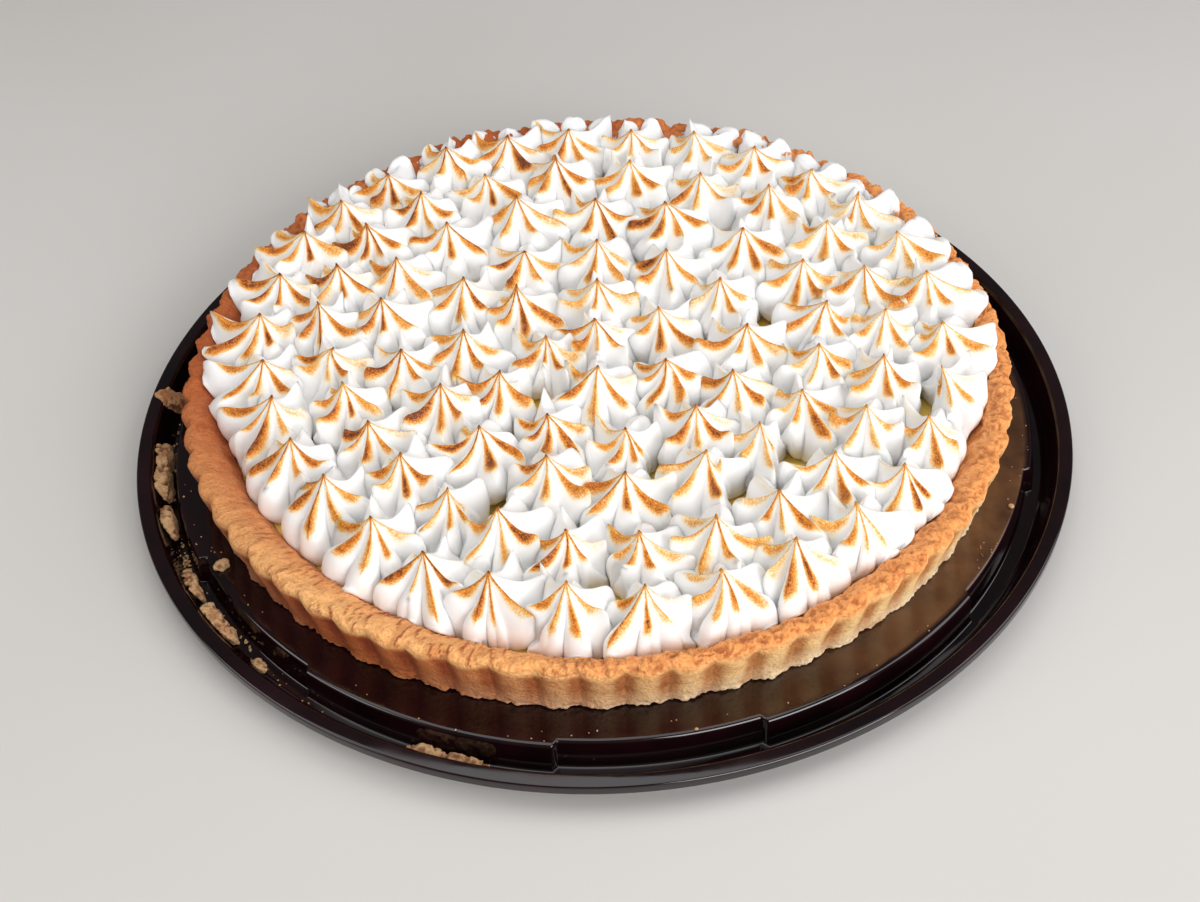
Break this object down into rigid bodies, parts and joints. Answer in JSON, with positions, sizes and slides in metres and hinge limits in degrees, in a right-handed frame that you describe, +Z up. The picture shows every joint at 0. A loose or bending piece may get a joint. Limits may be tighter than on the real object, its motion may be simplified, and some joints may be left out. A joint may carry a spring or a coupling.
{
  "type": "lemon meringue tart on tray",
  "caption": "Round fluted shortcrust tart with lemon filling, covered in rings of piped scorched meringue kisses, on a black moulded tray with crust crumbs in its gutter.",
  "frame": {"origin": "centre of the tray's underside, on the table", "axes": "+Z up; +X to the right and +Y to the back as the tart is usually seen; the tray's outer rim is centred on Z"},
  "size_m": [0.32, 0.32, 0.046],
  "materials": {
    "black_plastic": "thin black plastic sheet, vacuum formed, glossy",
    "shortcrust": "baked sweet shortcrust, dry and sandy, browned at the rim",
    "lemon_filling": "set lemon cream, soft sheen",
    "meringue": "piped Italian meringue, satin white, ridges scorched brown with a torch",
    "baked_crumb": "broken shortcrust, dry and crumbly"
  },
  "bodies": {
    "root": {"tray": "black_plastic", "crust": "shortcrust", "lemon_filling": "lemon_filling", "meringue": "meringue", "gutter_piece_1": "baked_crumb", "gutter_piece_2": "baked_crumb", "gutter_piece_3": "baked_crumb", "gutter_piece_4": "baked_crumb", "gutter_piece_5": "baked_crumb", "gutter_piece_6": "baked_crumb", "leaning_shard": "baked_crumb", "plateau_flake": "baked_crumb"}
  },
  "joints": []
}
